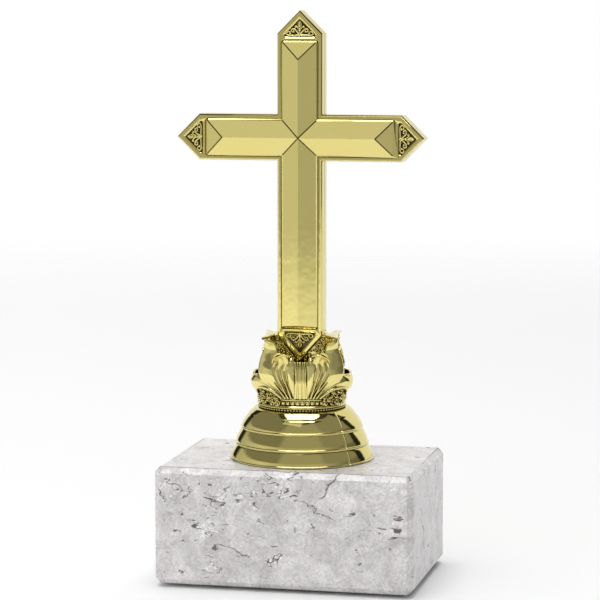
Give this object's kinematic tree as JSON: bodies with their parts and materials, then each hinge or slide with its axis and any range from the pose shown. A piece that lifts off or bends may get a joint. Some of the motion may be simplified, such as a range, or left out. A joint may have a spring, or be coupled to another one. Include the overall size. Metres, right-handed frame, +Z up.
{
  "type": "altar cross",
  "caption": "Standing altar cross with pointed ends, bevelled panels and filigree, on a leaf capital, stepped foot and marble block.",
  "frame": {"origin": "centre of the standing plane, under the felt pads", "axes": "+Z up through the cross, the front face looks along -Y, +X to the right seen from the front"},
  "size_m": [0.08, 0.055, 0.1746],
  "materials": {
    "marble": "polished pale grey marble with fine veins and pits",
    "gilt": "mirror-bright pale greenish gold plating",
    "gilt_filigree": "bright pale gold plating, darker in the hollows",
    "zinc_steel": "zinc-plated steel",
    "felt": "dark green pressed felt"
  },
  "bodies": {
    "root": {"marble_block": "marble", "stepped_foot": "gilt", "collar_ring": "gilt", "leaf_capital": "gilt", "cross_front_shell": "gilt", "cross_back_shell": "gilt", "front_bevelled_panel": "gilt", "back_bevelled_panel": "gilt", "front_filigree_head": "gilt_filigree", "front_filigree_left_arm": "gilt_filigree", "front_filigree_foot": "gilt_filigree", "front_filigree_right_arm": "gilt_filigree", "back_filigree_head": "gilt_filigree", "back_filigree_left_arm": "gilt_filigree", "back_filigree_foot": "gilt_filigree", "back_filigree_right_arm": "gilt_filigree", "base_washer": "zinc_steel", "base_nut": "zinc_steel", "threaded_rod": "zinc_steel", "captive_nut": "zinc_steel", "felt_pad_front_left": "felt", "felt_pad_rear_left": "felt", "felt_pad_front_right": "felt", "felt_pad_rear_right": "felt"}
  },
  "joints": []
}
